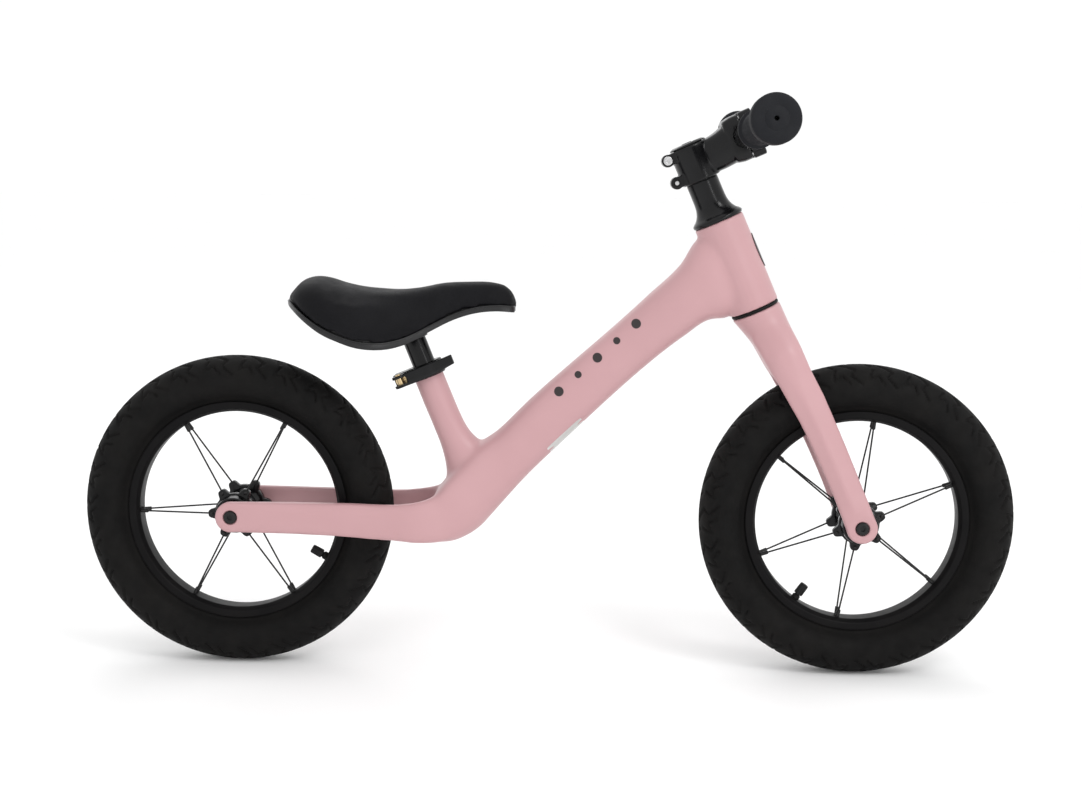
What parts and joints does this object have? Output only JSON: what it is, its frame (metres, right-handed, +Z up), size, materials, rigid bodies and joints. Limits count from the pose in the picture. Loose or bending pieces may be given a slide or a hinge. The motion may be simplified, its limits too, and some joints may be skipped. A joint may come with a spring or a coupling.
{
  "type": "balance bike",
  "caption": "Child's balance bike with a smooth one-piece low frame and fork, spoked wheels with air tyres, a padded saddle on a quick-clamp post and a short bar with end grips.",
  "frame": {"origin": "on the ground, midway between the two axles", "axes": "+X forwards, +Y to the rider's left, +Z up"},
  "size_m": [0.904, 0.383, 0.5488],
  "materials": {
    "pink_paint": "satin",
    "black_alloy": "gloss",
    "rim_alloy": "satin",
    "tyre_rubber": "matte",
    "tube_rubber": "matte",
    "grip_rubber": "matte",
    "steel": "satin",
    "black_steel": "satin",
    "brass": "satin",
    "shell_plastic": "satin",
    "saddle_cover": "satin",
    "cap_plastic": "matte"
  },
  "bodies": {
    "frame": {"frame": "pink_paint", "lower_headset_bearing": "steel", "upper_headset_bearing": "steel", "seat_clamp_band": "black_alloy", "seat_clamp_rod": "brass", "seat_clamp_nut": "black_steel", "rear_axle": "steel", "rear_axle_bolt_right": "black_steel", "rear_axle_bolt_left": "black_steel"},
    "seat": {"seat_post": "black_alloy", "saddle_shell": "shell_plastic", "saddle_pad": "saddle_cover"},
    "clamp_lever": {"seat_clamp_lever": "black_alloy"},
    "fork": {"fork": "pink_paint", "steerer_tube": "black_alloy", "fork_crown_seal": "tube_rubber", "headset_cover": "black_alloy", "stem_body": "black_alloy", "stem_faceplate": "black_alloy", "stem_pinch_bolt_upper": "steel", "stem_pinch_bolt_lower": "steel", "faceplate_bolt_1": "steel", "faceplate_bolt_2": "steel", "faceplate_bolt_3": "steel", "faceplate_bolt_4": "steel", "stem_top_cap": "black_alloy", "top_cap_bolt": "black_steel", "star_nut": "steel", "front_axle": "steel", "front_axle_bolt_right": "black_steel", "front_axle_bolt_left": "black_steel"},
    "handlebar": {"handlebar": "black_alloy", "grip_right": "grip_rubber", "grip_left": "grip_rubber"},
    "front_wheel": {"front_tyre": "tyre_rubber", "front_inner_tube": "tube_rubber", "front_valve_cap": "cap_plastic", "front_rim": "rim_alloy", "front_hub_shell": "black_alloy", "front_hub_bearing_right": "steel", "front_hub_bearing_left": "steel", "front_spoke_pair_1": "black_steel", "front_spoke_pair_2": "black_steel", "front_spoke_pair_3": "black_steel", "front_spoke_pair_4": "black_steel", "front_spoke_pair_5": "black_steel", "front_spoke_pair_6": "black_steel"},
    "rear_wheel": {"rear_tyre": "tyre_rubber", "rear_inner_tube": "tube_rubber", "rear_valve_cap": "cap_plastic", "rear_rim": "rim_alloy", "rear_hub_shell": "black_alloy", "rear_hub_bearing_right": "steel", "rear_hub_bearing_left": "steel", "rear_spoke_pair_1": "black_steel", "rear_spoke_pair_2": "black_steel", "rear_spoke_pair_3": "black_steel", "rear_spoke_pair_4": "black_steel", "rear_spoke_pair_5": "black_steel", "rear_spoke_pair_6": "black_steel"}
  },
  "joints": [
    {"name": "steering", "type": "hinge", "parent": "frame", "child": "fork", "pos_m": [0.19812, 0, 0.3539], "axis": [-0.4035, 0, 0.915], "continuous": true},
    {"name": "handlebar_roll", "type": "hinge", "parent": "fork", "child": "handlebar", "pos_m": [0.18286, 0, 0.51734], "axis": [0, 1, 0], "range_deg": [-20, 20]},
    {"name": "front_wheel_spin", "type": "hinge", "parent": "fork", "child": "front_wheel", "pos_m": [0.3005, 0, 0.1515], "axis": [0, 1, 0], "continuous": true},
    {"name": "rear_wheel_spin", "type": "hinge", "parent": "frame", "child": "rear_wheel", "pos_m": [-0.3005, 0, 0.1515], "axis": [0, 1, 0], "continuous": true},
    {"name": "seat_height", "type": "slide", "parent": "frame", "child": "seat", "axis": [-0.3746, 0, 0.9272], "range_m": [-0.018, 0.055]},
    {"name": "seat_clamp_lever_turn", "type": "hinge", "parent": "frame", "child": "clamp_lever", "pos_m": [-0.13986, -0.021, 0.28213], "axis": [-0.3746, 0, 0.9272], "range_deg": [-145, 0]}
  ]
}
